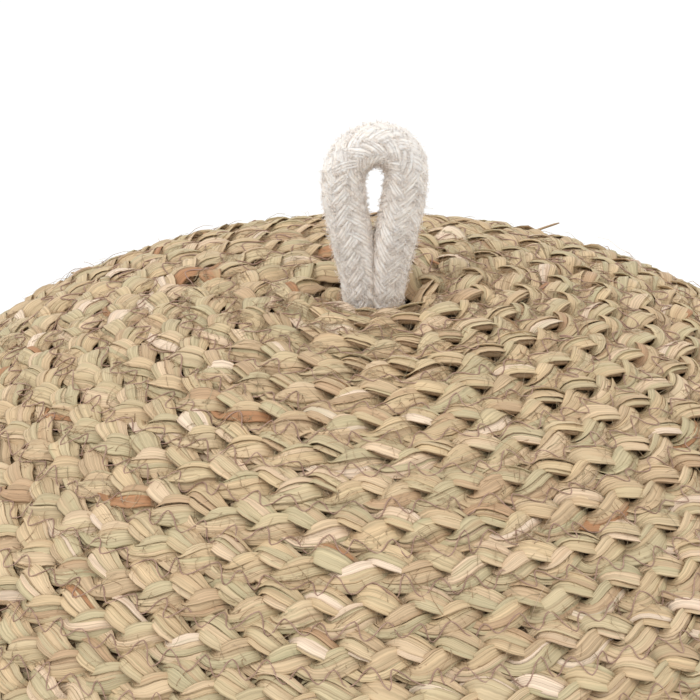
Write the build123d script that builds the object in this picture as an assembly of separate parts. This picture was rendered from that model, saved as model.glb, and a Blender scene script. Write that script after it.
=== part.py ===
from build123d import *
import math
import os

os.makedirs("parts", exist_ok=True)

# A round lidded laundry basket of seagrass. One long flat braid is coiled round and round and sewn
# edge to edge: a flat base, a slightly bellied wall, and a domed lid with a short skirt that caps the
# mouth. A loop of cotton rope stands at the top of the lid, and two rope handles hang on the wall.
# The origin is on the floor under the middle of the base, +Z is up, and the handles are at -X and +X.
# All sizes are in millimetres.

# The braid
COURSE = 16.0          # width of the flat braid, so the distance from one seam to the next
BRAID_T = 9.0          # its thickness
LAP = 0.6              # how far two neighbouring courses are pulled into each other
EDGE = 3.0             # how far a course's bevelled edges reach in, so that it has a seam's groove
THREAD_R = 0.5         # sewing thread with its pull on the braid
THREAD_GAP = 0.1       # between the thread and the two courses it lies between

# The body's outline from the middle of the base outwards: courses in each stretch, and its turn
BASE_COURSES = 9
BEND_COURSES = 2.5
BEND_TURN = 80.0
WALL_COURSES = 23.5
WALL_TURN = 15.0
NECK_COURSES = 3

# The lid's outline from its middle outwards: courses in each stretch, and its turn
DIMPLE_SLOPE = 26.0    # how steeply the braid rises from where the loop draws it in
DIMPLE = (1, 0.0)
CREST = (1.5, -31.0)   # the highest ring, round the dimple
TOP = (2, -5.0)
DOME = (2.5, -10.0)
DOME_SIDE = (6.5, -32.0)
SHOULDER = (2, -38.0)
SKIRT = (2.5, 0.0)
SEAT_DROP = 73.8       # from the middle of the lid down to the rim it sits on, at mid-thickness
                       # and at the rim's top edge

# The cotton rope, for the loop and the handles alike
ROPE_D = 16.0
JOINT_GAP = 0.4        # between a rope that moves and the ends of it that don't

# The loop on the lid: half widths and heights over the dimple, at the middle of the rope
LOOP_FOOT = 4.4
LOOP_CLOSED = 8.2
LOOP_CLOSED_Z = 33.0
LOOP_OPEN = 10.9
LOOP_OPEN_Z = 43.0
LOOP_TOP_Z = 66.8
LOOP_SEAT = 3.5        # how far the loop's ends stand out of the dimple before they can bend

# The handles on the wall
HANDLE_Z = 370.0
HANDLE_HALF = 60.0     # half the distance between a handle's two holes
HANDLE_DROP = 70.0
HANDLE_ARC = 42.0
HANDLE_X = 208.0       # how far out the hanging rope is, so that it just clears the belly
HOLE_GAP = 0.2
KNOT_X = 167.0         # the face of a knot that the wall rests against
KNOT_R = 15.0
KNOT_LENGTH = 24.0

rope_r = ROPE_D / 2


def body_stretches():
    """Each stretch of the body's outline: its length and how far it turns, in degrees."""
    return [
        (BASE_COURSES * COURSE, 0.0),
        (BEND_COURSES * COURSE, BEND_TURN),
        (WALL_COURSES * COURSE, WALL_TURN),
        (0.0, 90.0 - BEND_TURN - WALL_TURN),
        (NECK_COURSES * COURSE, 0.0),
    ]


def lid_stretches():
    """The same for the lid, which starts on the slope of its dimple."""
    parts = (DIMPLE, CREST, TOP, DOME, DOME_SIDE, SHOULDER, SKIRT)
    return [(0.0, DIMPLE_SLOPE)] + [(courses * COURSE, turn) for courses, turn in parts]


def along(stretches, distance, start_z):
    """The point (radius, height) and the heading in radians, at a distance along an outline."""
    r, z, heading = 0.0, start_z, 0.0
    for length, turn in stretches:
        turn = math.radians(turn)
        step = min(length, distance)
        if length == 0:
            heading += turn
            continue
        bend = turn / length
        if abs(bend) < 1e-9:
            r += step * math.cos(heading)
            z += step * math.sin(heading)
        else:
            r += (math.sin(heading + bend * step) - math.sin(heading)) / bend
            z -= (math.cos(heading + bend * step) - math.cos(heading)) / bend
        heading += bend * step
        distance -= step
        if distance <= 1e-9:
            break
    return r, z, heading


def course_face(stretches, index, start_z):
    """The cross-section of one course, on the XZ plane."""
    r, z, heading = along(stretches, (index + 0.5) * COURSE, start_z)
    if index > 0:
        face = Rectangle(COURSE + LAP, BRAID_T)
        face = Pos(r, z) * Rot(0, 0, math.degrees(heading)) * chamfer(face.vertices(), EDGE)
        return Plane.XZ * face
    width = COURSE + LAP / 2
    flat = Rectangle(2 * width, BRAID_T)
    half = Pos(width, 0) * Rectangle(2 * width, 4 * BRAID_T)
    tilted = Rot(0, 0, math.degrees(heading)) * chamfer(flat.vertices(), EDGE)
    return Plane.XZ * Pos(0, start_z) * (tilted & half)


def coil_profile(stretches, first, last, start_z):
    """The joined cross-section of courses first to last."""
    faces = [course_face(stretches, k, start_z) for k in range(first, last + 1)]
    return faces[0].fuse(*faces[1:]) if len(faces) > 1 else faces[0]


def bevel(stretches, index, side, end, start_z):
    """A point on one of a course's four bevels and the direction out along it, as (radius, height).

    Side is +1 above the outline and -1 below it, and end is +1 at the course's far edge."""
    r, z, heading = along(stretches, (index + 0.5) * COURSE, start_z)
    out = Vector(math.cos(heading), math.sin(heading))
    up = Vector(-math.sin(heading), math.cos(heading))
    edge = out * end * (COURSE + LAP) / 2 + up * side * (BRAID_T / 2 - EDGE)
    return Vector(r, z) + edge, (up * side - out * end).normalized()


def stitching(stretches, first, last, side, start_z):
    """A ring of thread in the groove after each of the courses first to last."""
    rings = []
    for k in range(first, last + 1):
        a, along_a = bevel(stretches, k, side, 1, start_z)
        b, along_b = bevel(stretches, k + 1, side, -1, start_z)
        turn = along_a.X * along_b.Y - along_a.Y * along_b.X
        reach = ((b - a).X * along_b.Y - (b - a).Y * along_b.X) / turn
        middle = (along_a + along_b).normalized()
        opening = math.radians(along_a.get_angle(along_b) / 2)
        lift = (THREAD_R + THREAD_GAP) / math.sin(opening)
        centre = a + along_a * reach + middle * lift
        ring = Pos(centre.X, centre.Y) * RegularPolygon(THREAD_R, 6)
        rings.append(turned(Plane.XZ * ring))
    return Compound(children=rings)


def turned(profile):
    return revolve(profile, Axis.Z)


def rope_holes():
    """The four holes that the handles' ropes go through, two along X on each side."""
    hole = Rot(0, 90, 0) * Cylinder(rope_r + HOLE_GAP, HANDLE_X - KNOT_X)
    middle = (HANDLE_X + KNOT_X) / 2
    return [
        Pos(side * middle, y, HANDLE_Z) * hole
        for side in (-1, 1)
        for y in (-HANDLE_HALF, HANDLE_HALF)
    ]


def rope_tube(path):
    start = path @ 0
    return sweep(Plane(start, z_dir=path % 0) * Circle(rope_r), path)


# Heights that follow from the outlines
base_z = BRAID_T / 2
body_courses = round(BASE_COURSES + BEND_COURSES + WALL_COURSES + NECK_COURSES)
lid_courses = round(sum(length for length, turn in lid_stretches()) / COURSE)
skirt_courses = round(SKIRT[0])
rim_r, rim_z, _ = along(body_stretches(), body_courses * COURSE, base_z)
lid_z = rim_z + SEAT_DROP
dimple_z = lid_z + BRAID_T / 2


def make_body():
    """The base, the wall and the rim, each with its own sewing thread."""
    outline = body_stretches()
    rim = body_courses - 1
    base_face = coil_profile(outline, 0, BASE_COURSES - 1, base_z)
    wall_face = coil_profile(outline, BASE_COURSES, rim - 1, base_z) - base_face
    rim_face = coil_profile(outline, rim, rim, base_z) - wall_face
    wall_thread = stitching(outline, BASE_COURSES - 1, rim - 2, -1, base_z)
    return {
        "base_braid": turned(base_face),
        "wall_braid": turned(wall_face) - rope_holes(),
        "rim_braid": turned(rim_face),
        "base_stitching": stitching(outline, 0, BASE_COURSES - 2, -1, base_z),
        "wall_stitching": wall_thread - rope_holes(),
        "rim_stitching": stitching(outline, rim - 1, rim - 1, -1, base_z),
    }


def loop_foot_profile(extra):
    """The outline of the loop's two legs side by side, where they go through the lid."""
    return SlotCenterToCenter(2 * LOOP_FOOT, ROPE_D + 2 * extra)


def make_lid():
    """The dome, its skirt, their thread, and the ends of the loop knotted under the lid."""
    outline = lid_stretches()
    skirt = lid_courses - skirt_courses
    dome_face = coil_profile(outline, 0, skirt - 1, lid_z)
    skirt_face = coil_profile(outline, skirt, lid_courses - 1, lid_z) - dome_face
    hole = extrude(Pos(0, 0, lid_z) * loop_foot_profile(HOLE_GAP), 2 * BRAID_T, both=True)
    slope = math.radians(DIMPLE_SLOPE)
    under = (rope_r + HOLE_GAP) * math.tan(slope) - BRAID_T / 2 / math.cos(slope)
    knot_top = lid_z + under - JOINT_GAP
    knot = Pos(0, 0, knot_top - KNOT_LENGTH / 2) * Cylinder(KNOT_R + 2, KNOT_LENGTH)
    knot = fillet(knot.edges(), KNOT_LENGTH * 0.4)
    legs_low = knot_top - KNOT_LENGTH / 4
    legs = extrude(Pos(0, 0, legs_low) * loop_foot_profile(0), dimple_z + LOOP_SEAT - legs_low)
    return {
        "lid_braid": turned(dome_face) - hole,
        "lid_skirt_braid": turned(skirt_face),
        "lid_stitching": stitching(outline, 1, skirt - 2, 1, lid_z),
        "lid_skirt_stitching": stitching(outline, skirt - 1, lid_courses - 2, 1, lid_z),
        "lid_loop_knot": legs + knot,
    }


def make_loop():
    """The standing loop of rope, from where it bends just over the lid."""
    foot_z = LOOP_SEAT + rope_r + JOINT_GAP
    top_centre = LOOP_TOP_Z - LOOP_OPEN
    points = [
        (LOOP_FOOT, foot_z),
        (LOOP_CLOSED, LOOP_CLOSED_Z),
        (LOOP_OPEN, LOOP_OPEN_Z),
        (LOOP_OPEN, top_centre),
    ]
    right = FilletPolyline(*[(x, 0, dimple_z + z) for x, z in points], radius=14)
    left = mirror(right, Plane.YZ)
    middle = (0, 0, dimple_z + LOOP_TOP_Z)
    top = ThreePointArc(right @ 1, middle, left @ 1)
    loop = rope_tube(right) + rope_tube(left) + rope_tube(top)
    for side in (-1, 1):
        loop += Pos(side * LOOP_FOOT, 0, dimple_z + foot_z) * Sphere(rope_r)
    foot = Cylinder(rope_r, 2 * LOOP_FOOT)
    return loop + Pos(0, 0, dimple_z + foot_z) * Rot(0, 90, 0) * foot


def make_handle(side):
    """One hanging handle, and its two fixed ends with their knots inside the wall."""
    low = HANDLE_Z - HANDLE_DROP
    x = side * HANDLE_X
    corners = [
        (x, HANDLE_HALF, HANDLE_Z),
        (x, HANDLE_HALF, low),
        (x, -HANDLE_HALF, low),
        (x, -HANDLE_HALF, HANDLE_Z),
    ]
    rope = rope_tube(FilletPolyline(*corners, radius=HANDLE_ARC))
    knots = []
    knot_middle = KNOT_X - KNOT_LENGTH / 2
    end_x = HANDLE_X - rope_r - JOINT_GAP
    for y in (-HANDLE_HALF, HANDLE_HALF):
        rope += Pos(x, y, HANDLE_Z) * Sphere(rope_r)
        end = Rot(0, 90, 0) * Cylinder(rope_r, end_x - knot_middle)
        knot = Rot(0, 90, 0) * fillet(Cylinder(KNOT_R, KNOT_LENGTH).edges(), KNOT_LENGTH * 0.4)
        end = Pos(side * (end_x + knot_middle) / 2, y, HANDLE_Z) * end
        knots.append(end + Pos(side * knot_middle, y, HANDLE_Z) * knot)
    return rope, Compound(children=knots)


nodes = {**make_body(), **make_lid(), "lid_loop_rope": make_loop()}
for name, side in (("left", -1), ("right", 1)):
    nodes[name + "_handle_rope"], nodes[name + "_handle_knots"] = make_handle(side)

for name, shape in nodes.items():
    export_step(shape, f"parts/{name}.step")

print(f"rim at radius {rim_r:.1f} and height {rim_z:.1f}, dimple at {dimple_z:.1f}")
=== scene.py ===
import math
import bpy
import numpy as np
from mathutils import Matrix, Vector


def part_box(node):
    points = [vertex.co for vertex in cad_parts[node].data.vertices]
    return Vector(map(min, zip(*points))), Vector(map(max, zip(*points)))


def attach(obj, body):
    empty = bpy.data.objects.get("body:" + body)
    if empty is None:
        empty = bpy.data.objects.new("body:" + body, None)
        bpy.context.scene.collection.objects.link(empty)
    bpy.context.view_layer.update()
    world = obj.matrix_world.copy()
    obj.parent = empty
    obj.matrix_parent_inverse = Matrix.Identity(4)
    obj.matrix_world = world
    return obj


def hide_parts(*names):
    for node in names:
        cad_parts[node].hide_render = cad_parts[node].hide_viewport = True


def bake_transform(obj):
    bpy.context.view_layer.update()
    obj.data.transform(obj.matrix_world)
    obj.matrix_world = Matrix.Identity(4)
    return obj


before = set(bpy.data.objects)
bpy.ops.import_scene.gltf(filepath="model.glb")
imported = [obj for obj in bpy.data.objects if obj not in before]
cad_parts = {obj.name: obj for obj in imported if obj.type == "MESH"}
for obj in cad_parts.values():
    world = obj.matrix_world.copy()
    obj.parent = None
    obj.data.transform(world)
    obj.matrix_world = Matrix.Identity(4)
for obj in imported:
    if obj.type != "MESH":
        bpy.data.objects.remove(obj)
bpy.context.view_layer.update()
rng = np.random.default_rng(11)

MM = 0.001

# The braid, as the CAD model has it
COURSE = 16 * MM
BRAID_T = 9 * MM
DIMPLE_SLOPE = 26
BODY_OUTLINE = [(9, 0), (2.5, 80), (23.5, 15), (0.5, -5), (2.5, 0)]    # courses, degrees turned
LID_OUTLINE = [(1, 0), (1.5, -31), (2, -5), (2.5, -10), (6.5, -32), (2, -38), (2.5, 0)]

# The three strands of the plait, and the leaves in a strand
PLAIT = 52 * MM            # a strand is back at the same edge after this length
REACH = 6.0 * MM           # how far a strand's middle swings to each side
LIFT = 2.1 * MM            # and up and down
STRAND = 10.2 * MM         # width of a strand
PILLOW = 2.3 * MM          # how high a strand's leaves stand over its middle plane
LEAF_T = 0.65 * MM
LEAN = 0.8 * MM            # how much higher the strands on their way out lie than those on their way in
TILT = 0.1                 # how much a course's outer edge is lifted over the next course
ROLL = 0.5                 # how far a strand leans outwards near the edge, in radians
PINCH = 0.26               # how much narrower a strand is where it dives under the next
FLOOR_GAP = 0.3 * MM       # the leaves under the base are pressed flat at this height

# Places on the scale of tints, from 0 to 1, that have their own colour
# the darkest tint is painted shade: the dark brown of the shadowed gaps between strands
GAP_SHADE_TINT = 0.0
GREEN_TINT = 0.02
ORANGE_TINT = 0.05
BROWN_TINT = 0.09
BLEACHED_TINT = 0.97

# The rope
ROPE_R = 8 * MM
ROPE_LEAD = 50 * MM        # length in which a yarn goes once round the rope
HOLE_REACH = 8 * MM        # how far from a rope the braid is pushed aside by it

CREST_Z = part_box("lid_braid")[1][2]
DIMPLE_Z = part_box("lid_loop_knot")[1][2] - 3.5 * MM
LID_Z = DIMPLE_Z - BRAID_T / 2


# ---------------------------------------------------------------- camera

def make_camera():
    """The view of the photograph: close to the top of the lid, looking down at it."""
    distance = 1.83
    elevation = math.radians(22.0)
    data = bpy.data.cameras.new("camera")
    data.lens = 257.1
    data.sensor_width = 36.0
    data.clip_start = 0.01
    camera = bpy.data.objects.new("camera", data)
    bpy.context.scene.collection.objects.link(camera)
    aim = Vector((0, 0, CREST_Z + 0.8 * MM))
    camera.location = aim + distance * Vector((0, -math.cos(elevation), math.sin(elevation)))
    pitch = math.radians(90 - 22.78)
    yaw = math.radians(0.29)
    camera.rotation_euler = (pitch, 0, yaw)
    bpy.context.scene.camera = camera


# ---------------------------------------------------------------- materials

def linear(red, green, blue):
    """A colour given in screen values from 0 to 255, as a shader wants it."""
    channels = [c / 255 for c in (red, green, blue)]
    return [c / 12.92 if c <= 0.04045 else ((c + 0.055) / 1.055) ** 2.4 for c in channels] + [1]


class Nodes:
    """A material's node tree, with short calls for the nodes that are used here."""

    def __init__(self, name):
        self.material = bpy.data.materials.new(name)
        self.material.use_nodes = True
        self.tree = self.material.node_tree
        self.shader = self.tree.nodes["Principled BSDF"]

    def add(self, kind, inputs=None, **settings):
        node = self.tree.nodes.new("ShaderNode" + kind)
        for name, value in settings.items():
            setattr(node, name, value)
        for socket, value in (inputs or {}).items():
            if isinstance(value, bpy.types.NodeSocket):
                self.tree.links.new(value, node.inputs[socket])
            else:
                node.inputs[socket].default_value = value
        return node

    def attribute(self, name, output="Vector"):
        return self.add("Attribute", attribute_name=name).outputs[output]

    def stretched(self, vector, scale):
        inputs = {0: vector, 1: scale}
        return self.add("VectorMath", inputs, operation="MULTIPLY").outputs[0]

    def noise(self, vector, scale=1.0, detail=3.0):
        inputs = {"Vector": vector, "Scale": scale, "Detail": detail}
        return self.add("TexNoise", inputs).outputs["Fac"]

    def between(self, value, low, high, to_low=0.0, to_high=1.0):
        inputs = {0: value, 1: low, 2: high, 3: to_low, 4: to_high}
        return self.add("MapRange", inputs).outputs[0]

    def math(self, operation, a, b=0.5):
        return self.add("Math", {0: a, 1: b}, operation=operation).outputs[0]

    def ramp(self, value, stops, interpolation="LINEAR"):
        node = self.add("ValToRGB", {0: value})
        node.color_ramp.interpolation = interpolation
        elements = node.color_ramp.elements
        while len(elements) < len(stops):
            elements.new(0.5)
        for element, (place, colour) in zip(elements, stops):
            element.position = place
            element.color = linear(*colour)
        return node.outputs[0]

    def mix(self, factor, a, b, kind="MIX"):
        node = self.add("Mix", data_type="RGBA", blend_type=kind)
        for socket, value in ((0, factor), (6, a), (7, b)):
            if isinstance(value, bpy.types.NodeSocket):
                self.tree.links.new(value, node.inputs[socket])
            else:
                node.inputs[socket].default_value = value
        return node.outputs[2]

    def bump(self, height, strength, distance):
        inputs = {"Height": height, "Strength": strength, "Distance": distance}
        self.set("Normal", self.add("Bump", inputs).outputs[0])

    def set(self, socket, value):
        if isinstance(value, bpy.types.NodeSocket):
            self.tree.links.new(value, self.shader.inputs[socket])
        else:
            self.shader.inputs[socket].default_value = value


def seagrass_material():
    """Dry leaves: each its own tint, fine ribs along it, blotches, brown edges, and dark lines along it
    that are painted shade in creases.
    """
    n = Nodes("seagrass")
    grain = n.attribute("grain")
    tint = n.attribute("tint", "Fac")
    ribs = n.noise(n.stretched(grain, (60, 4.2, 31)), detail=4)
    blotch = n.noise(n.stretched(grain, (28, 0.6, 17)), detail=2)
    colour = n.ramp(tint, [
        # painted shade for the gaps between strands
        (GAP_SHADE_TINT, (92, 70, 48)),
        (GREEN_TINT, (104, 110, 74)),
        (ORANGE_TINT, (176, 128, 90)),
        (BROWN_TINT, (182, 146, 112)),
        (0.25, (192, 166, 132)),
        (0.42, (206, 180, 141)),
        (0.57, (188, 174, 138)),
        (0.72, (208, 182, 146)),
        (0.86, (218, 192, 162)),
        (1.00, (230, 208, 184)),
    ])
    rib_light = n.between(ribs, 0.3, 0.7, 0.72, 1.16)
    light = n.add("CombineColor", {0: rib_light, 1: rib_light, 2: rib_light}).outputs[0]
    colour = n.mix(1.0, colour, light, "MULTIPLY")
    green = n.between(blotch, 0.56, 0.74, 0.0, 0.5)
    colour = n.mix(green, colour, linear(174, 170, 132))
    brown = n.between(blotch, 0.40, 0.27, 0.0, 0.45)
    colour = n.mix(brown, colour, linear(176, 140, 106))
    # painted shade: random dark lengthwise lines stand for shade in the creases between narrow leaves
    crease_shade = n.noise(n.stretched(grain, (15, 8.5, 13)), detail=2)
    colour = n.mix(n.between(crease_shade, 0.41, 0.35, 0.0, 0.5), colour, linear(134, 108, 78))
    across = n.math("ABSOLUTE", n.add("SeparateXYZ", {0: grain}).outputs[1])
    edge = n.between(across, 0.8, 1.0, 0.0, 0.25)
    colour = n.mix(edge, colour, linear(150, 120, 86))
    n.set("Base Color", colour)
    n.set("Roughness", n.between(ribs, 0.3, 0.7, 0.72, 0.5))
    n.set("Specular IOR Level", 0.35)
    n.bump(ribs, 0.9, 0.35 * MM)
    return n.material


def thread_material():
    """Mauve-brown sewing thread with its twist."""
    n = Nodes("sewing_thread")
    grain = n.attribute("grain")
    twist = n.add("TexWave", {"Vector": n.stretched(grain, (900, 0.8, 1)), "Scale": 1.0})
    fleck = n.noise(n.stretched(grain, (150, 1, 9)))
    colour = n.ramp(fleck, [(0.3, (146, 116, 102)), (0.55, (170, 140, 124)), (0.75, (192, 164, 148))])
    n.set("Base Color", colour)
    n.set("Roughness", n.between(fleck, 0, 1, 0.75, 0.9))
    n.set("Specular IOR Level", 0.25)
    n.bump(twist.outputs["Fac"], 0.5, 0.1 * MM)
    return n.material


def cotton_material():
    """Undyed cotton yarn: cream, with faint painted shade as darker lines between its fibres."""
    n = Nodes("cotton_rope")
    grain = n.attribute("grain")
    fibre = n.noise(n.stretched(grain, (260, 2.6, 23)), detail=4)
    cloud = n.noise(n.stretched(grain, (40, 0.4, 7)), detail=2)
    # painted shade: the darker streaks of the fibre noise stand for shade between fibres
    colour = n.ramp(fibre, [(0.25, (244, 228, 213)), (0.5, (252, 240, 228)), (0.75, (255, 248, 239))])
    colour = n.mix(n.between(cloud, 0.45, 0.75, 0.0, 0.3), colour, linear(242, 224, 208))
    n.set("Base Color", colour)
    n.set("Roughness", n.between(fibre, 0, 1, 0.92, 1.0))
    n.set("Specular IOR Level", 0.06)
    n.set("Subsurface Weight", 0.6)
    n.set("Subsurface Scale", 1.5 * MM)
    n.set("Subsurface Radius", (1.0, 0.9, 0.8))
    n.set("Sheen Weight", 0.12)
    n.set("Sheen Roughness", 0.6)
    n.bump(fibre, 0.3, 0.2 * MM)
    return n.material


def floor_material():
    n = Nodes("studio_floor")
    n.set("Base Color", linear(246, 246, 245))
    n.set("Roughness", 0.9)
    return n.material


# ---------------------------------------------------------------- meshes

def add_tubes(name, rings, material, attributes, closed_ends=True):
    """One mesh of many tubes. rings is tubes x rings x points x 3, each ring the same way round."""
    tubes, length, corners = rings.shape[:3]
    index = np.arange(tubes * length * corners).reshape(tubes, length, corners)
    beside = np.roll(index, -1, axis=2)
    quads = np.stack([index[:, :-1], beside[:, :-1], beside[:, 1:], index[:, 1:]], -1)
    loops = quads.reshape(-1)
    starts = np.arange(0, len(loops), 4)
    if closed_ends:
        ends = np.concatenate([index[:, 0, ::-1], index[:, -1]]).reshape(-1)
        starts = np.concatenate([starts, len(loops) + np.arange(0, len(ends), corners)])
        loops = np.concatenate([loops, ends])
    mesh = bpy.data.meshes.new(name)
    mesh.vertices.add(index.size)
    mesh.vertices.foreach_set("co", rings.reshape(-1).astype(np.float32))
    mesh.loops.add(len(loops))
    mesh.loops.foreach_set("vertex_index", loops.astype(np.int32))
    mesh.polygons.add(len(starts))
    mesh.polygons.foreach_set("loop_start", starts.astype(np.int32))
    mesh.polygons.foreach_set("use_smooth", np.ones(len(starts), bool))
    mesh.update(calc_edges=True)
    for key, values in attributes.items():
        kind = "FLOAT_VECTOR" if values.ndim == 4 else "FLOAT"
        attribute = mesh.attributes.new(key, kind, "POINT")
        field = "vector" if values.ndim == 4 else "value"
        attribute.data.foreach_set(field, values.reshape(-1).astype(np.float32))
    mesh.materials.append(material)
    piece = bpy.data.objects.new(name, mesh)
    bpy.context.scene.collection.objects.link(piece)
    return piece


def unit(vectors):
    return vectors / np.maximum(np.linalg.norm(vectors, axis=-1, keepdims=True), 1e-12)


def dot(a, b):
    return (a * b).sum(-1, keepdims=True)


def grain_of(along, corners, identity):
    """The material's own coordinates: metres along, -1 to 1 across, and a number for each tube."""
    tubes, length = along.shape
    turn = 2 * np.pi * np.arange(corners) / corners
    grain = np.empty((tubes, length, corners, 3))
    grain[..., 0] = along[..., None]
    grain[..., 1] = np.cos(turn)
    grain[..., 2] = identity[:, None, None]
    return grain


def round_tubes(lines, radius, corners, side):
    """Rings round each of many lines (tubes x points x 3), and how far along each ring is.

    side is a direction at each point that is never along the line."""
    tangent = unit(np.gradient(lines, axis=1))
    u = unit(np.cross(tangent, side))
    v = np.cross(tangent, u)
    turn = 2 * np.pi * np.arange(corners) / corners
    radius = np.broadcast_to(radius, lines.shape[:2])[..., None, None]
    circle = np.cos(turn)[:, None] * u[:, :, None] + np.sin(turn)[:, None] * v[:, :, None]
    step = np.linalg.norm(np.diff(lines, axis=1), axis=-1)
    along = np.concatenate([np.zeros((len(lines), 1)), np.cumsum(step, 1)], 1)
    return lines[:, :, None] + radius * circle, along


def drift(count, length, spacing, points):
    """Independent slow wanderings about 0 along a length, one line for each."""
    knots = np.arange(-spacing, length + 2 * spacing, spacing)
    values = rng.normal(size=(count, len(knots)))
    return np.array([np.interp(points, knots, line) for line in values])


# ---------------------------------------------------------------- coils of braid

def outline_table(stretches, slope, start_z):
    """Distance, radius, height and heading along an outline of straight and round stretches."""
    step = 0.25 * MM
    bends = [
        np.full(round(courses * COURSE / step), math.radians(turn) / (courses * COURSE))
        for courses, turn in stretches
    ]
    last = np.zeros(round(COURSE / step))
    bends = np.concatenate(bends + [last])
    heading = math.radians(slope) + np.concatenate([[0], np.cumsum(bends) * step])
    middle = (heading[1:] + heading[:-1]) / 2
    radius = np.concatenate([[0], np.cumsum(np.cos(middle)) * step])
    height = start_z + np.concatenate([[0], np.cumsum(np.sin(middle)) * step])
    return np.arange(len(heading)) * step, radius, height, heading


class Coil:
    """A braid coiled along an outline, one course a turn, with the plait's two faces."""

    def __init__(self, stretches, slope, start_z, first, last, step, side, start_angle):
        self.table = outline_table(stretches, slope, start_z)
        self.side = side
        self.start_angle = start_angle
        fine = np.linspace(first, last, int((last - first) * 500))
        radius = np.interp(fine * COURSE, self.table[0], self.table[1])
        run = np.diff(fine) * 2 * np.pi * (radius[1:] + radius[:-1]) / 2
        run = np.concatenate([[0], np.cumsum(run)])
        self.along = np.arange(0, run[-1], step)
        self.turns = np.interp(self.along, run, fine)
        self.wander = drift(1, run[-1], 60 * MM, self.along)[0] * 0.28
        fade = np.clip((run[-1] - self.along) / (45 * MM), 0, 1) * np.clip(self.along / (25 * MM), 0, 1)
        self.fade = fade ** 0.6
        self.tuck = (1 - self.fade) * COURSE * 0.35

    def place(self, distance, height, turns):
        """Points off the outline, with the directions up from it and outwards along it."""
        s, r, z, heading = self.table
        r, z, heading = (np.interp(distance, s, column) for column in (r, z, heading))
        angle = self.start_angle + 2 * np.pi * turns
        round_ = np.stack([np.cos(angle), np.sin(angle)], -1)
        r = r - height * np.sin(heading)
        z = z + height * np.cos(heading)
        points = np.concatenate([round_ * r[..., None], z[..., None]], -1)
        up = np.concatenate([-round_ * np.sin(heading)[..., None], np.cos(heading)[..., None]], -1)
        out = np.concatenate([round_ * np.cos(heading)[..., None], np.sin(heading)[..., None]], -1)
        return points, up, out

    def phase(self, turns, strand):
        along = np.interp(turns, self.turns, self.along)
        wander = np.interp(turns, self.turns, self.wander)
        return 2 * np.pi * (along / PLAIT + strand / 3) + wander

    def surface(self, turns, across):
        """How high the plait's outer face is at a distance across the braid."""
        top = np.full(np.shape(turns), -LIFT)
        for strand in range(3):
            t = self.phase(turns, strand)
            off = (across - swing_of(t)) * 0.9 / (STRAND / 2 * waist_of(t))
            height = pillow(off)[0] + height_of(t)
            top = np.maximum(top, np.where(np.abs(off) < 1.1, height, -LIFT))
        return top


def swing_of(t):
    """How far across a strand is: nearly straight runs from edge to edge."""
    return REACH * (np.sin(t) - 0.12 * np.sin(3 * t) + 0.02 * np.sin(5 * t)) / 1.14


def height_of(t):
    """How high a strand is: over the others from each edge to the middle, then under them."""
    dive = np.sin(2 * t)
    return TILT * swing_of(t) + LEAN * np.cos(t) - LIFT * dive * (1.4 - 0.4 * dive**2)


def waist_of(t):
    return 1 - PINCH * np.cos(2 * t) ** 2


def pillow(off):
    """Height and slope of a strand's rounded face, with off from -1 to 1 across it."""
    inside = np.clip(off / 1.12, -0.98, 0.98)
    height = PILLOW * np.sqrt(1 - inside**2)
    slope = -PILLOW * inside / np.sqrt(1 - inside**2) / (STRAND / 2 * 1.12)
    return height, np.clip(slope, -1.1, 1.1)


LEAF_SECTIONS = {
    6: [(-1, 0.1), (-0.8, 0.85), (0.75, 1), (1, 0.3), (0.6, -0.9), (-0.6, -1)],
    4: [(-1, 0), (-0.7, 1), (0.8, 1), (1, -0.4)],
}
CORE_SECTIONS = {
    6: [
        (-1, 0.1), (-0.6, 1.1), (0, 1.5), (0.6, 1.1), (1, 0.1),
        (0.62, -1.35), (0.28, -0.8), (-0.05, -1.5), (-0.36, -0.85), (-0.7, -1.3),
    ],
    4: [(-1, 0.1), (-0.5, 1.2), (0.5, 1.2), (1, 0.1), (0.5, -1.35), (0, -0.8), (-0.5, -1.35)],
}


class Strand:
    """One strand of a coil's plait: its line, its directions and its width all along."""

    def __init__(self, coil, number):
        along, turns, side = coil.along, coil.turns, coil.side
        fade, tuck = coil.fade, coil.tuck
        self.t = coil.phase(turns, number)
        sway, bob = drift(2, along[-1], 25 * MM, along)
        lateral = swing_of(self.t) * (1 + 0.09 * sway) * (0.4 + 0.6 * fade)
        height = side * height_of(self.t) * (1 + 0.12 * bob)
        distance = turns * COURSE + lateral - tuck
        self.points, up, out = coil.place(distance, height - side * tuck * 0.5, turns)
        ahead = unit(np.gradient(self.points, axis=0))
        b = unit(out - dot(out, ahead) * ahead)
        n = unit(up - dot(up, ahead) * ahead - dot(up, b) * b)
        roll = (ROLL * np.sin(self.t) * np.sin(2 * self.t) * -side)[:, None]
        self.b = b * np.cos(roll) - n * np.sin(roll)
        self.n = (n * np.cos(roll) + b * np.sin(roll)) * side
        self.half = STRAND / 2 * waist_of(self.t) * (0.45 + 0.55 * fade)
        lobe = np.floor(self.t / np.pi).astype(int)
        self.lobe = lobe - lobe.min()

    def rings(self, x, y):
        return self.points[:, None] + x[..., None] * self.b[:, None] + y[..., None] * self.n[:, None]


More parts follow.
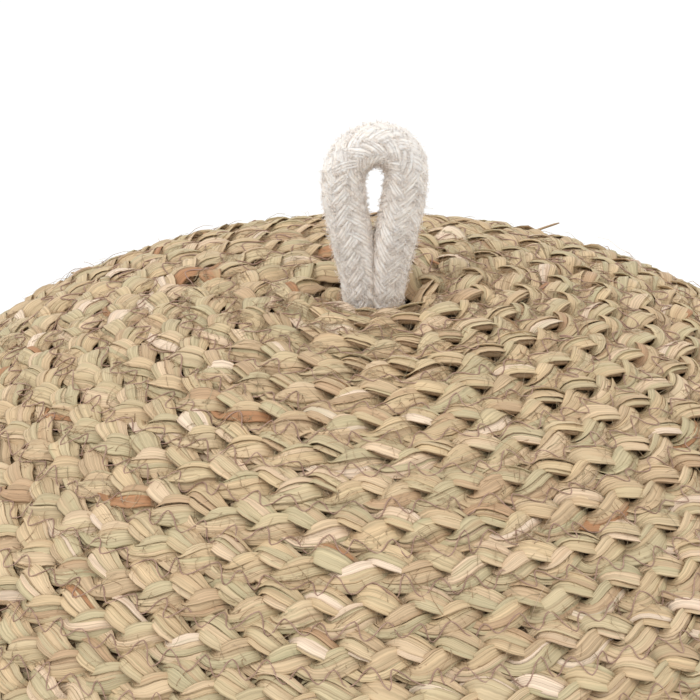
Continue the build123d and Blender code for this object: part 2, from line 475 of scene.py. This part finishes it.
def plait_leaves(coil, leaves, corners):
    """Every leaf of a coil's three strands as rings of points, with its tint and grain."""
    along = coil.along
    total = along[-1]
    section = np.array(LEAF_SECTIONS[corners], float)
    order = slice(None) if coil.side > 0 else slice(None, None, -1)
    shape = (3 * leaves, len(along), corners)
    rings = np.empty(shape + (3,))
    tint = np.empty(shape)
    grain = np.empty(shape + (3,))
    strands = [Strand(coil, number) for number in range(3)]
    for number, strand in enumerate(strands):
        share = np.exp(0.7 * drift(leaves, total, 35 * MM, along))
        share /= share.sum(0)
        middle = np.cumsum(share, 0) - share / 2
        lobe_tint = persistent_tints(leaves, strand.lobe.max() + 1)
        layer = 0.16 * MM * (-1) ** np.arange(leaves)
        for leaf in range(leaves):
            k = number * leaves + leaf
            wobble, tip, rise = drift(3, total, 15 * MM, along)
            off = 2 * middle[leaf] - 1 + 0.07 * wobble
            height, slope = pillow(off * 0.92)
            width = (share[leaf] * 1.3 + 0.06) * strand.half * 2
            tilt = np.arctan(slope) + 0.18 * tip
            cx = section[:, 0] * width[:, None] / 2
            cy = section[:, 1] * LEAF_T * (0.95 + 0.15 * rise[:, None]) / 2
            x = (off * strand.half)[:, None] + cx * np.cos(tilt)[:, None] - cy * np.sin(tilt)[:, None]
            y = cx * np.sin(tilt)[:, None] + cy * np.cos(tilt)[:, None]
            y += (height - LEAF_T / 2 + layer[leaf] + 0.17 * MM * rise)[:, None]
            rings[k] = strand.rings(x, y)[:, order]
            leaf_tint = lobe_tint[leaf][strand.lobe]
            tint[k] = leaf_tint[:, None]
            grain[k, :, :, 0] = along[:, None]
            grain[k, :, :, 1] = section[order, 0]
            grain[k, :, :, 2] = k + 7.3 * leaf_tint[:, None]
    return rings, tint, grain, plait_cores(coil, strands, CORE_SECTIONS[corners], order)


def plait_cores(coil, strands, section, order):
    """The inside of each strand, which shows as leaves on its back and fills the gaps in front."""
    section = np.array(section)
    shape = (len(strands), len(coil.along), len(section))
    rings = np.empty(shape + (3,))
    grain = np.empty(shape + (3,))
    for k, strand in enumerate(strands):
        x = section[:, 0] * strand.half[:, None] * 0.94
        y = np.broadcast_to(section[:, 1] * 1.05 * MM, x.shape)
        rings[k] = strand.rings(x, y)[:, order]
        grain[k, :, :, 0] = coil.along[:, None]
        grain[k, :, :, 1] = 0.3
        grain[k, :, :, 2] = k * 9.1 + section[order, 0] * 2.5
    tint = np.full(shape, 0.16)
    return rings, tint, grain


def plait_bed(coil):
    """A thin layer in the middle of the braid, so that no light comes through between strands. Its
    outer face is painted dark brown, as painted shade in the gaps between strands.
    """
    corners = np.array([(-0.5, 0.5), (0.5, 0.5), (0.5, -0.5), (-0.5, -0.5)])
    corners = corners if coil.side < 0 else corners[::-1]
    width = (COURSE + 1 * MM) * (0.05 + 0.95 * coil.fade)
    across = corners[:, 0] * width[:, None] - coil.tuck[:, None]
    height = corners[:, 1] * 0.6 * MM - coil.side * 0.6 * MM
    turns = np.repeat(coil.turns[:, None], 4, 1)
    rings = coil.place(turns * COURSE + across, height, turns)[0][None]
    # painted shade: the outer face takes the dark gap tint, the inner face plain straw
    outside = corners[:, 1] * coil.side > 0
    tint = np.broadcast_to(np.where(outside, GAP_SHADE_TINT, 0.15), rings.shape[:3])
    grain = np.empty(rings.shape)
    grain[..., 0] = coil.along[None, :, None]
    grain[..., 1] = 0.2
    grain[..., 2] = np.arange(4) * 3.0
    return rings, tint, grain


def persistent_tints(leaves, lobes):
    """A tint from 0 to 1 for each leaf in each lobe. A leaf often keeps its tint to the next one."""
    strand = np.clip(0.5 + 0.17 * rng.normal(size=lobes), 0.08, 0.92)
    tints = np.empty((leaves, lobes))
    value = rng.random(leaves)
    for i in range(lobes):
        fresh = rng.random(leaves) < 0.45
        value = np.where(fresh, rng.random(leaves), value)
        tints[:, i] = 0.55 * value + 0.45 * strand[i]
    rare = rng.random(tints.shape)
    tints[rare < 0.009] = ORANGE_TINT
    tints[rare > 0.97] = BLEACHED_TINT
    return tints


def spread_apart(points, hole, radius, reach):
    """Pushes points away from a rope that passes between them. hole gives their offset from it."""
    offset = hole(points)
    distance = np.linalg.norm(offset, axis=-1, keepdims=True)
    return points + unit(offset) * radius * np.exp(-distance / reach)


def from_loop(points):
    """Offsets from the two legs of the loop, where they go through the lid."""
    offset = points.copy()
    offset[..., 2] = 0
    offset[..., 0] -= np.clip(points[..., 0], -4.4 * MM, 4.4 * MM)
    return offset


def make_courses(prefix, coil, leaves, corners, group, material, body, nodes, holes=(), push=ROPE_R):
    """The coil as pieces of a few turns each. nodes lists the CAD nodes by their last turn."""
    rings, tint, grain, core = plait_leaves(coil, leaves, corners)
    layers = [(rings, tint, grain), core, plait_bed(coil)]
    for hole in holes:
        layers = [(spread_apart(r, hole, push, HOLE_REACH), t, g) for r, t, g in layers]
    for r, _, _ in layers:
        r[..., 2] = np.maximum(r[..., 2], FLOOR_GAP)
    first = math.floor(coil.turns[0])
    last = math.ceil(coil.turns[-1])
    coil.pieces = []
    for start in range(first, last, group):
        inside = np.flatnonzero((coil.turns >= start) & (coil.turns < start + group))
        if len(inside) < 3:
            continue
        part = slice(inside[0], min(inside[-1] + 2, len(coil.turns)))
        name = f"{prefix}_{start + 1:02d}"
        made = [
            add_tubes(name, r[:, part], material, {"tint": t[:, part], "grain": g[:, part]})
            for r, t, g in layers
        ]
        node = next(node for node, end in nodes if start < end)
        piece = joined(name, made)
        coil.pieces.append((start, start + group, piece))
        stand(piece, body, "seagrass", node)
    bpy.context.view_layer.update()


def stand(piece, body, slot, *nodes):
    """Ties a finished piece to its body and hides the CAD nodes it stands for; slot is not used."""
    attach(piece, body)
    if nodes:
        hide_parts(*nodes)
    return piece


# ---------------------------------------------------------------- stitching

STITCH = 5.8 * MM          # from one needle hole to the next, along the seam
STITCH_REACH = 3.4 * MM    # how far from the seam the thread swings
THREAD_R = 0.25 * MM
BLUNT = 0.45               # 0 makes the stitches a plain zigzag, and 1 a wave


def outer_face(coil, distance, turns):
    """How high the leaves stand at each point, as felt from outside."""
    high = 12 * MM
    points, up, _ = coil.place(distance, np.full(len(turns), high * coil.side), turns)
    inwards = -up * coil.side
    depth = np.full(len(turns), np.nan)
    for start, end, piece in coil.pieces:
        for k in np.flatnonzero((turns + 1.1 > start) & (turns < end)):
            hit, place, _, _ = piece.ray_cast(Vector(points[k]), Vector(inwards[k]), distance=2 * high)
            if hit:
                depth[k] = np.nanmin([depth[k], (place - Vector(points[k])).length])
    found = ~np.isnan(depth)
    index = np.arange(len(turns))
    return high - np.interp(index, index[found], depth[found])


def make_stitching(name, coil, first, last, body, nodes, material, holes=(), push=ROPE_R):
    """Zigzag stitches over each seam, as one thread a turn that lies on the leaves."""
    per = 8
    corners = 4
    made = []
    for seam in range(first, last):
        radius = float(np.interp((seam + 1) * COURSE, coil.table[0], coil.table[1]))
        count = max(6, int(2 * np.pi * radius / STITCH))
        knots = np.arange(count + 1)
        hole = np.where(knots % 2, 1, -1) * STITCH_REACH * (1 + 0.25 * rng.normal(size=count + 1))
        jitter = 0.24 * rng.normal(size=count + 1)
        v = np.linspace(0, count, count * per + 1)
        before = np.minimum(v.astype(int), count - 1)
        progress = v - before
        wave = np.sin(np.pi * (progress - 0.5)) / 2 + 0.5
        swing = progress + BLUNT * (wave - progress)
        across = hole[before] * (1 - swing) + hole[before + 1] * swing
        turns = seam + (np.interp(v, knots, knots + jitter) + 0.05 * np.sin(2 * np.pi * v)) / count
        distance = (turns + 0.5) * COURSE + across
        rise = outer_face(coil, distance, turns)
        padded = np.pad(rise, 2, mode="edge")
        near = [padded[i:i + len(rise)] for i in range(5)]
        rise = 0.45 * np.max(near, 0) + 0.55 * np.mean(near, 0)
        height = (rise + 0.7 * THREAD_R) * coil.side
        line, up, _ = coil.place(distance, height, turns)
        ring, along = round_tubes(line[None], THREAD_R, corners, up[None])
        for hole in holes:
            ring = spread_apart(ring, hole, push, HOLE_REACH)
        grain = grain_of(along, corners, np.array([float(seam - first)]))
        made.append(add_tubes(f"{name}_{seam + 1:02d}", ring, material, {"grain": grain}))
    return stand(joined(name, made), body, "sewing_thread", *nodes)


def joined(name, pieces):
    """Several new pieces as one."""
    with bpy.context.temp_override(
        active_object=pieces[0], selected_objects=pieces, selected_editable_objects=pieces
    ):
        bpy.ops.object.join()
    pieces[0].name = name
    pieces[0].data.name = name
    return pieces[0]


# ---------------------------------------------------------------- loose fibres

def make_fibres(name, coil, count, body, material, low, high):
    """Fine curled hairs of frayed leaf and thread that stand out near the seams."""
    turns = rng.uniform(low, high, count)
    turns = np.floor(turns) + rng.random(count)
    seam = rng.random(count) < 0.72
    near_seam = COURSE / 2 + 2.2 * MM * rng.normal(size=count)
    across = np.where(seam, near_seam, rng.uniform(-COURSE / 2, COURSE / 2, count))
    ahead = rng.uniform(0, 2 * np.pi, count)
    length = rng.gamma(3.0, 2.8 * MM, count)
    bend = rng.normal(size=count) * 1.1
    lift = 0.2 * rng.random(count) ** 2
    points = 5
    s = np.linspace(0, 1, points)[None]
    heading = ahead[:, None] + bend[:, None] * s
    x = np.cumsum(np.cos(heading), 1) / points * length[:, None]
    y = np.cumsum(np.sin(heading), 1) / points * length[:, None]
    radius = np.interp(turns * COURSE, coil.table[0], coil.table[1])[:, None]
    place_turns = turns[:, None] + x / (2 * np.pi * np.maximum(radius, 20 * MM))
    off = across[:, None] + y
    inside = np.clip(place_turns, coil.turns[0], coil.turns[-1])
    base = coil.surface(inside, np.clip(off, -COURSE / 2, COURSE / 2))
    height = base + 0.15 * MM + lift[:, None] * length[:, None] * np.sin(np.pi * s * 0.6)
    line, up, _ = coil.place(place_turns * COURSE + off, height * coil.side, place_turns)
    taper = np.linspace(1, 0.4, points)[None] * rng.uniform(0.07, 0.17, count)[:, None] * MM
    rings, along = round_tubes(line, taper, 3, up + 0.01)
    grain = grain_of(along, 3, rng.random(count) * 50)
    tint = np.broadcast_to((0.08 + 0.8 * rng.random(count) ** 2)[:, None, None], rings.shape[:3])
    piece = add_tubes(name, rings, material, {"grain": grain, "tint": tint})
    return stand(piece, body, "seagrass")


def make_strays(name, coil, strays, body, material):
    """Broken ends of leaf that stick out of the braid.

    strays gives each one's turns, distance across the course, length, heading, rise and tint."""
    made = []
    for k, (turns, across, length, heading, rise, tint) in enumerate(strays):
        s = np.linspace(0, 1, 8)
        run = s * length * MM
        radius = float(np.interp(turns * COURSE, coil.table[0], coil.table[1]))
        at = turns + run * math.cos(math.radians(heading)) / (2 * math.pi * radius)
        distance = turns * COURSE + across * MM + run * math.sin(math.radians(heading))
        height = PILLOW + 0.3 * MM + run * math.sin(math.radians(rise))
        line, up, _ = coil.place(distance, height * coil.side, at)
        ahead = unit(np.gradient(line, axis=0))
        b = unit(np.cross(ahead, up))
        n = np.cross(b, ahead)
        width = np.interp(s, [0, 0.9, 1], [1.1, 0.9, 0.5])[:, None, None] * MM
        corners = np.array([(-1, 0), (0, 0.5), (1, 0), (0, -0.4)])
        ring = line[:, None] + width * (corners[:, :1] * b[:, None] + corners[:, 1:] * n[:, None])
        grain = grain_of(run[None], 4, np.array([k * 3.7]))
        attributes = {"grain": grain, "tint": np.full(grain.shape[:3], tint)}
        made.append(add_tubes(name, ring[None], material, attributes))
    return stand(joined(name, made), body, "seagrass")


# ---------------------------------------------------------------- rope

def spline_points(name, route):
    """Points along the smooth line that a route's corners pull, close together."""
    data = bpy.data.curves.new(name + "_route", "CURVE")
    data.dimensions = "3D"
    data.resolution_u = 24
    spline = data.splines.new("NURBS")
    spline.points.add(len(route) - 1)
    for point, place in zip(spline.points, route):
        point.co = (*place, 1)
    spline.order_u = 3
    spline.use_endpoint_u = True
    holder = bpy.data.objects.new(name + "_route", data)
    mesh = bpy.data.meshes.new_from_object(holder)
    points = np.array([v.co for v in mesh.vertices])
    bpy.data.objects.remove(holder)
    bpy.data.curves.remove(data)
    bpy.data.meshes.remove(mesh)
    return points


def even_points(points, step):
    run = np.concatenate([[0], np.cumsum(np.linalg.norm(np.diff(points, axis=0), axis=1))])
    count = max(8, int(run[-1] / step))
    along = np.linspace(0, run[-1], count)
    return np.stack([np.interp(along, run, points[:, k]) for k in range(3)], -1), along


def carried_frames(line):
    """Directions across a line that turn as little as they can along it."""
    ahead = unit(np.gradient(line, axis=0))
    start = np.array([0, 1.0, 0]) if abs(ahead[0][1]) < 0.9 else np.array([1.0, 0, 0])
    u = [unit(start - (start @ ahead[0]) * ahead[0])]
    for t in ahead[1:]:
        u.append(unit(u[-1] - (u[-1] @ t) * t))
    u = np.array(u)
    return u, np.cross(ahead, u)


def rope_mesh(name, points, step, material, squeeze=None, yarn_corners=5):
    """A braided rope along a line: eight strands each way, over two and under two, of three yarns."""
    line, along = even_points(points, step)
    u, v = carried_frames(line)
    wide = np.ones((len(line), 2)) if squeeze is None else squeeze(line, along)
    yarn_r = 1.5 * MM
    weave = 0.2 * MM
    shell = ROPE_R - yarn_r - weave
    tubes = []
    for way in (1, -1):
        for strand in range(8):
            n = 16 * along / ROPE_LEAD
            over = n + 2 * strand if way > 0 else 2 * strand - n
            radius = shell + way * weave * np.cos(np.pi / 2 * (over - 0.5))
            angle = way * 2 * np.pi * along / ROPE_LEAD + 2 * np.pi * strand / 8
            tubes.append(around(line, u, v, angle, radius, wide))
    middles = np.array(tubes)
    ahead = unit(np.gradient(middles, axis=1))
    outwards = unit(middles - line)
    sideways = unit(np.cross(ahead, outwards))
    yarns = np.concatenate([middles + sideways * shift * 1.12 * MM for shift in (-1, 0, 1)])
    yarns += 0.08 * MM * np.array([
        drift(3, along[-1], 6 * MM, along).T for _ in range(len(yarns))
    ])
    rings, run = round_tubes(yarns, yarn_r, yarn_corners, np.concatenate([outwards] * 3))
    grain = grain_of(run, yarn_corners, np.arange(len(yarns)) * 1.7)
    cover = add_tubes(name, rings, material, {"grain": grain})
    turn = np.linspace(0, 2 * np.pi, 20, endpoint=False)
    core = np.stack([around(line, u, v, a, shell + 0.6 * MM, wide) for a in turn], 1)
    core_grain = grain_of(along[None], len(turn), np.array([3.0]))
    inner = add_tubes(name + "_core", core[None], material, {"grain": core_grain})
    return joined(name, [cover, inner]), line


def around(line, u, v, angle, radius, wide):
    angle = np.broadcast_to(angle, len(line))
    radius = np.broadcast_to(radius, len(line))
    x = (np.cos(angle) * radius * wide[:, 0])[:, None]
    y = (np.sin(angle) * radius * wide[:, 1])[:, None]
    return line + u * x + v * y


def make_fuzz(name, line, count, material, squeeze=None):
    """Short fine hairs all over a rope."""
    u, v = carried_frames(line)
    wide = np.ones((len(line), 2)) if squeeze is None else squeeze(line, None)
    at = rng.integers(0, len(line), count)
    angle = rng.uniform(0, 2 * np.pi, count)
    x = np.cos(angle)[:, None] * wide[at, :1]
    y = np.sin(angle)[:, None] * wide[at, 1:]
    offset = u[at] * x + v[at] * y
    out = unit(offset)
    root = line[at] + offset * (ROPE_R - 0.25 * MM)
    lean = unit(rng.normal(size=(count, 3)) + 0.25 * out)
    curl = unit(rng.normal(size=(count, 3)) + 0.1 * out)
    length = rng.uniform(0.8, 3.0, count)[:, None] * MM
    middle = root + lean * length * 0.5
    tip = middle + curl * length * 0.5
    lines = np.stack([root, middle, tip], 1)
    rings, along = round_tubes(lines, np.array([[0.095, 0.08, 0.04]]) * MM, 3, out[:, None] + 0.01)
    return add_tubes(name, rings, material, {"grain": grain_of(along, 3, rng.random(count) * 90)})


def loop_squeeze(line, along):
    """The loop's legs are pressed together where they go into the lid, and are deeper there."""
    rise = (line[:, 2] - DIMPLE_Z) / (32 * MM)
    press = 1 - np.clip(rise, 0, 1)
    press = press * press * (3 - 2 * press)
    return np.stack([1 + 0.06 * press, 1 - 0.2 * press], -1)


def loop_route():
    """The corners of the loop's line, in millimetres over the dimple: two legs and a round arch."""
    right = [(4.4, -9), (4.4, 11), (6.2, 22), (8.4, 33), (10.6, 43), (11.2, 50)]
    arch = [
        (11.4 * math.cos(turn), 54.9 + 11.8 * math.sin(turn))
        for turn in np.radians(np.arange(0, 181, 22.5))
    ]
    left = [(-x, z) for x, z in reversed(right)]
    corners = []
    for x, z in right + arch + left:
        lean = max(0.0, z - 42) / 25
        corners.append(((x + 1.8 * lean * lean) * MM, 0, DIMPLE_Z + z * MM))
    return corners


def make_loop(material):
    """The loop on the lid, as one rope from one side of the hole in the lid to the other."""
    points = spline_points("loop", loop_route())
    piece, line = rope_mesh("lid_loop_rope_braid", points, 0.8 * MM, material, loop_squeeze)
    fuzz = make_fuzz("lid_loop_fuzz", line, 13500, material, loop_squeeze)
    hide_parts("lid_loop_rope")
    for each in (piece, fuzz):
        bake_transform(each)


HANDLE_X = 208 * MM
HANDLE_Z = 370 * MM
HANDLE_HALF = 60 * MM
HANDLE_LOW = 300 * MM
HANDLE_IN = 178 * MM


def make_handle(name, side, material):
    """A hanging handle as one rope between the knots inside the wall."""
    x, inside = side * HANDLE_X, side * HANDLE_IN
    route = [
        (inside, HANDLE_HALF, HANDLE_Z),
        (x, HANDLE_HALF, HANDLE_Z),
        (x, HANDLE_HALF, HANDLE_LOW),
        (x, -HANDLE_HALF, HANDLE_LOW),
        (x, -HANDLE_HALF, HANDLE_Z),
        (inside, -HANDLE_HALF, HANDLE_Z),
    ]
    piece, line = rope_mesh(name + "_rope_braid", spline_points(name, route), 1.5 * MM, material)
    fuzz = make_fuzz(name + "_fuzz", line, 3200, material)
    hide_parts(name + "_rope")
    for each in (piece, fuzz):
        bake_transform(each)


def knot_line(centre, axis, first, radius, length, turns):
    """A rope's end wound into a knot: in along the axis, then round it."""
    axis, first = np.array(axis, float), np.array(first, float)
    second = np.cross(axis, first)
    v = np.linspace(0, 1, 90)[:, None]
    grow = np.clip(v * 5, 0, 1) * radius
    turn = 2 * np.pi * turns * v
    circle = first * np.cos(turn) + second * np.sin(turn)
    return np.array(centre) + axis * v * length + circle * grow


def make_knots(name, body, node, starts, material):
    """The knots at the ends of a rope."""
    made = []
    for k, (centre, axis, first) in enumerate(starts):
        line = knot_line(centre, axis, first, 8.2 * MM, 16 * MM, 1.6)
        made.append(rope_mesh(f"{name}_{k}", line, 2 * MM, material)[0])
    stand(joined(name, made), body, "cotton_rope", node)


# ---------------------------------------------------------------- the basket

def handle_hole(side, y):
    def offset(points):
        away = points - [0, y, HANDLE_Z]
        away[..., 0] = 0
        far = np.sign(points[..., :1]) != side
        return np.where(far, 1.0, away)
    return offset


def make_lid(straw, thread):
    coil = Coil(LID_OUTLINE, DIMPLE_SLOPE, LID_Z, 0.75, 17.7, 2.0 * MM, 1, math.pi)
    nodes = [("lid_braid", 16), ("lid_skirt_braid", 18)]
    make_courses("lid_course", coil, 4, 6, 1, straw, "lid", nodes, [from_loop], 5 * MM)
    thread_nodes = ["lid_stitching", "lid_skirt_stitching"]
    make_stitching("lid_thread", coil, 1, 17, "lid", thread_nodes, thread, [from_loop], 5 * MM)
    make_fibres("lid_fibres", coil, 7600, "lid", straw, 1.5, 16.6)
    make_fibres("lid_frayed_fibres", coil, 6000, "lid", straw, 1.5, 12.0)
    strays = [
        (7.669, 2.4, 11, 148, 41, 0.1),
        (8.892, 5.7, 5, 51, 45, 0.5),
        (2.84, 1, 12, 177, 8, GREEN_TINT),
        (2.6, -5, 12, 0, 4, ORANGE_TINT),
        (5.15, 5, 9, 200, 9, 0.8),
        (6.72, -4, 8, 30, 12, 0.3),
    ]
    make_strays("lid_strays", coil, strays, "lid", straw)


def make_body(straw, thread):
    coil = Coil(BODY_OUTLINE, 0, BRAID_T / 2, 0.42, 37.5, 2.85 * MM, -1, -math.pi / 2)
    nodes = [("base_braid", 9), ("wall_braid", 36), ("rim_braid", 38)]
    holes = [handle_hole(side, y) for side in (-1, 1) for y in (-HANDLE_HALF, HANDLE_HALF)]
    make_courses("body_course", coil, 4, 4, 2, straw, "basket", nodes, holes)
    make_stitching("base_thread", coil, 1, 9, "basket", ["base_stitching"], thread)
    wall_nodes = ["wall_stitching", "rim_stitching"]
    for first in range(9, 36, 9):
        name = f"wall_thread_{first}"
        make_stitching(name, coil, first, first + 9, "basket", wall_nodes, thread, holes)
    make_fibres("wall_fibres", coil, 4200, "basket", straw, 10, 36.4)


def make_ropes(cotton):
    make_loop(cotton)
    under = DIMPLE_Z - BRAID_T - 4 * MM
    lid_knot = [((0, 0, under), (0, 0, -1), (1, 0, 0))]
    make_knots("lid_loop_knot_braid", "lid", "lid_loop_knot", lid_knot, cotton)
    for name, side in (("left_handle", -1), ("right_handle", 1)):
        make_handle(name, side, cotton)
        starts = [
            ((side * (HANDLE_IN - 4 * MM), y, HANDLE_Z), (-side, 0, 0), (0, 1, 0))
            for y in (-HANDLE_HALF, HANDLE_HALF)
        ]
        make_knots(name + "_knots_braid", "basket", name + "_knots", starts, cotton)


# ---------------------------------------------------------------- the studio

def make_studio():
    """A pale floor and soft light from all round, a little stronger from the upper left."""
    scene = bpy.context.scene
    scene.view_settings.view_transform = "Standard"
    bpy.ops.mesh.primitive_plane_add(size=30, location=(0, 0, 0))
    floor = bpy.context.object
    floor.name = "studio_floor"
    floor.data.materials.append(floor_material())
    world = bpy.data.worlds.new("studio")
    world.use_nodes = True
    world.node_tree.nodes["Background"].inputs[0].default_value = (1, 1, 1, 1)
    world.node_tree.nodes["Background"].inputs[1].default_value = 1.09
    scene.world = world
    add_light("key", (-0.9, -0.7, 2.0), 0.9, 11)
    add_light("fill", (1.3, -1.2, 1.5), 1.2, 4)


def add_light(name, place, size, power):
    data = bpy.data.lights.new(name, "AREA")
    data.size = size
    data.energy = power
    light = bpy.data.objects.new(name, data)
    light.location = place
    light.rotation_euler = (Vector((0, 0, 0.45)) - Vector(place)).to_track_quat("-Z", "Y").to_euler()
    bpy.context.scene.collection.objects.link(light)


make_camera()
straw, thread, cotton = seagrass_material(), thread_material(), cotton_material()
make_lid(straw, thread)
make_body(straw, thread)
make_ropes(cotton)
make_studio()
